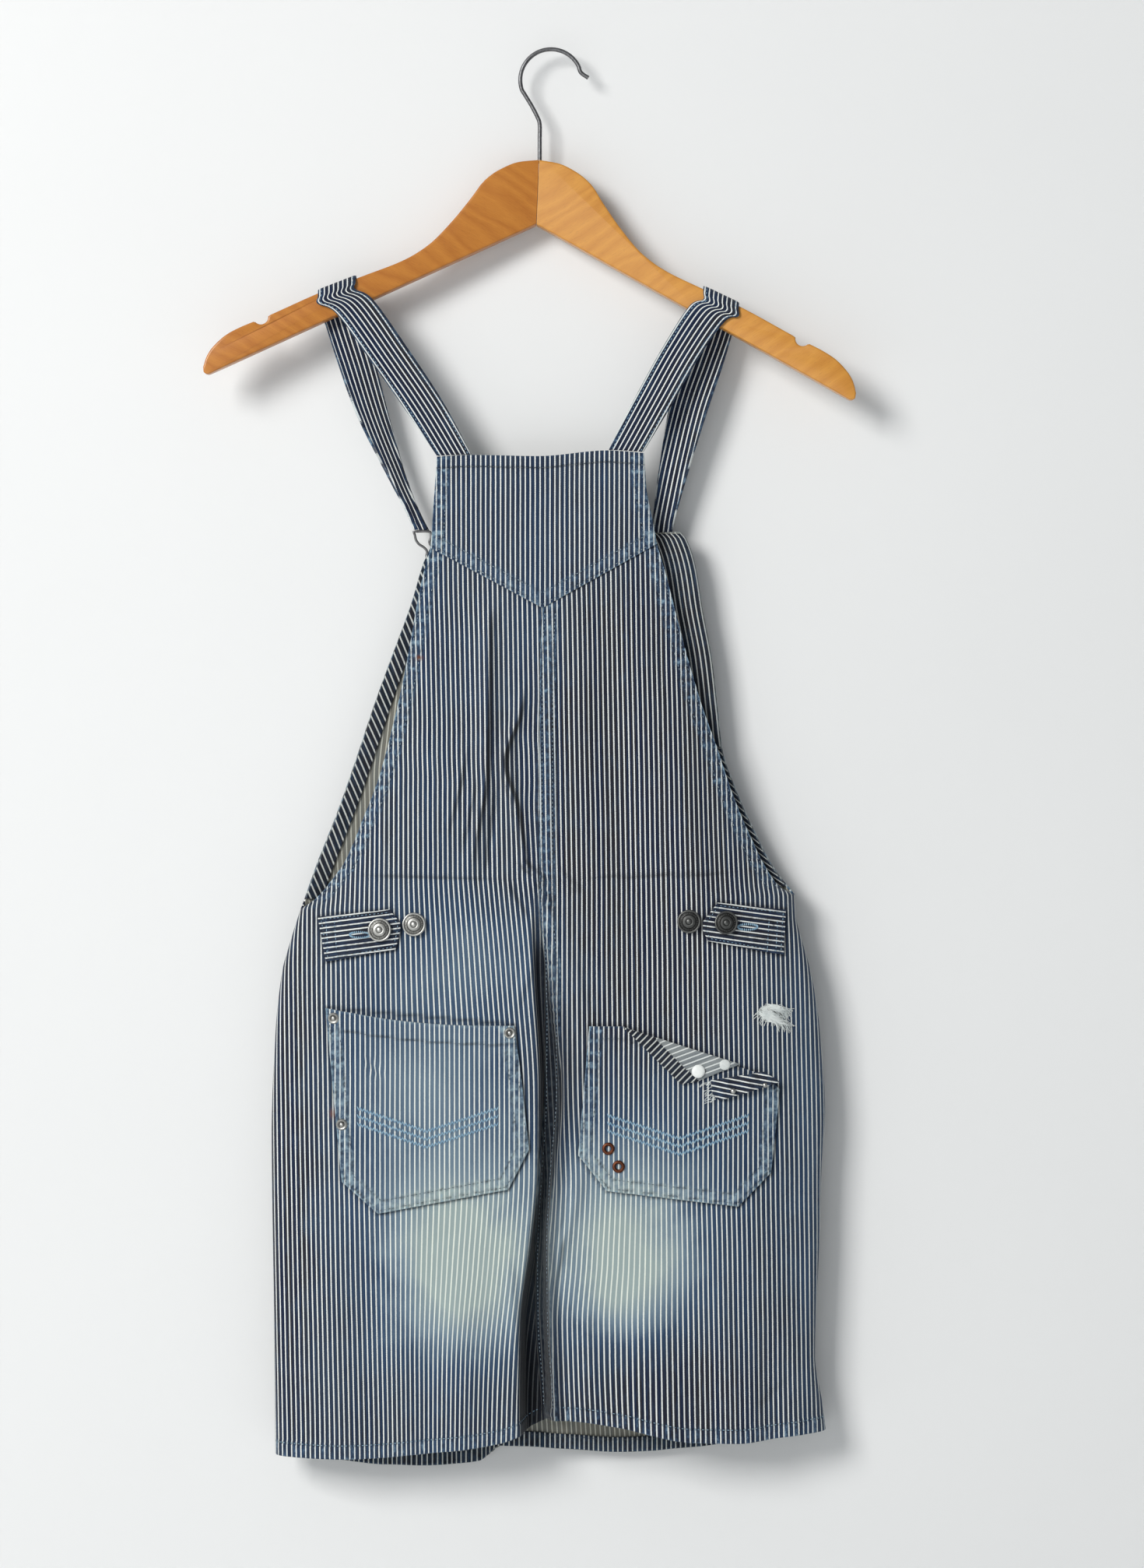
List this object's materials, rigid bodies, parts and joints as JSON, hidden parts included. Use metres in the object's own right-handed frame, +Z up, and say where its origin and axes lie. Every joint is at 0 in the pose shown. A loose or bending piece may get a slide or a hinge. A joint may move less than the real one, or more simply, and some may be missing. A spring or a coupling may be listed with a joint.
{
  "type": "overall skirt on a wooden hanger",
  "caption": "Striped denim overall skirt with wide straps, a pointed back yoke and two patch pockets, hanging flat by its straps on a wooden clothes hanger.",
  "frame": {"origin": "inside top of the hanger's wire hook, on its middle plane, where a rail or peg carries the whole", "axes": "+Z up, +X across the garment to the viewer's right as its back is seen, +Y from the garment's back towards its front, which faces the wall"},
  "size_m": [0.4611, 0.0511, 1.0135],
  "materials": {
    "denim": "striped cotton denim, washed",
    "denim_dark": "striped cotton denim, little worn",
    "denim_inside": "wrong side of the striped denim",
    "denim_faded": "striped cotton denim, worn pale",
    "wood": "clear satin lacquer over honey wood",
    "steel_wire": "plated wire",
    "tack_metal": "antique nickel",
    "copper": "oxidised copper",
    "white_cap": "pale enamel"
  },
  "bodies": {
    "root": {"hanger_left_arm": "wood", "hanger_right_arm": "wood", "hanger_hook": "steel_wire", "back_yoke": "denim", "back_left_panel": "denim", "back_right_panel": "denim", "front_panel": "denim_inside", "front_left_facing": "denim_dark", "front_right_facing": "denim_dark", "front_hem_turnup": "denim_dark", "strap_left": "denim", "strap_right": "denim", "bib_hook_left": "steel_wire", "bib_hook_right": "steel_wire", "bib_button_left": "tack_metal", "bib_button_right": "tack_metal", "pocket_left": "denim_faded", "pocket_right": "denim_faded", "pocket_right_turned_corner": "denim_inside", "pocket_right_corner_tail": "denim_dark", "waist_tab_left": "denim_dark", "waist_tab_right": "denim_dark", "tab_button_left_outer": "tack_metal", "tab_button_left_inner": "tack_metal", "tab_button_right_outer": "tack_metal", "tab_button_right_inner": "tack_metal", "pocket_rivet_1": "tack_metal", "pocket_rivet_2": "tack_metal", "pocket_rivet_3": "tack_metal", "pocket_eyelet_1": "copper", "pocket_eyelet_2": "copper", "corner_rivet_cap_1": "white_cap", "corner_rivet_cap_2": "white_cap", "corner_rivet_point_1": "tack_metal", "corner_rivet_point_2": "tack_metal"}
  },
  "joints": []
}
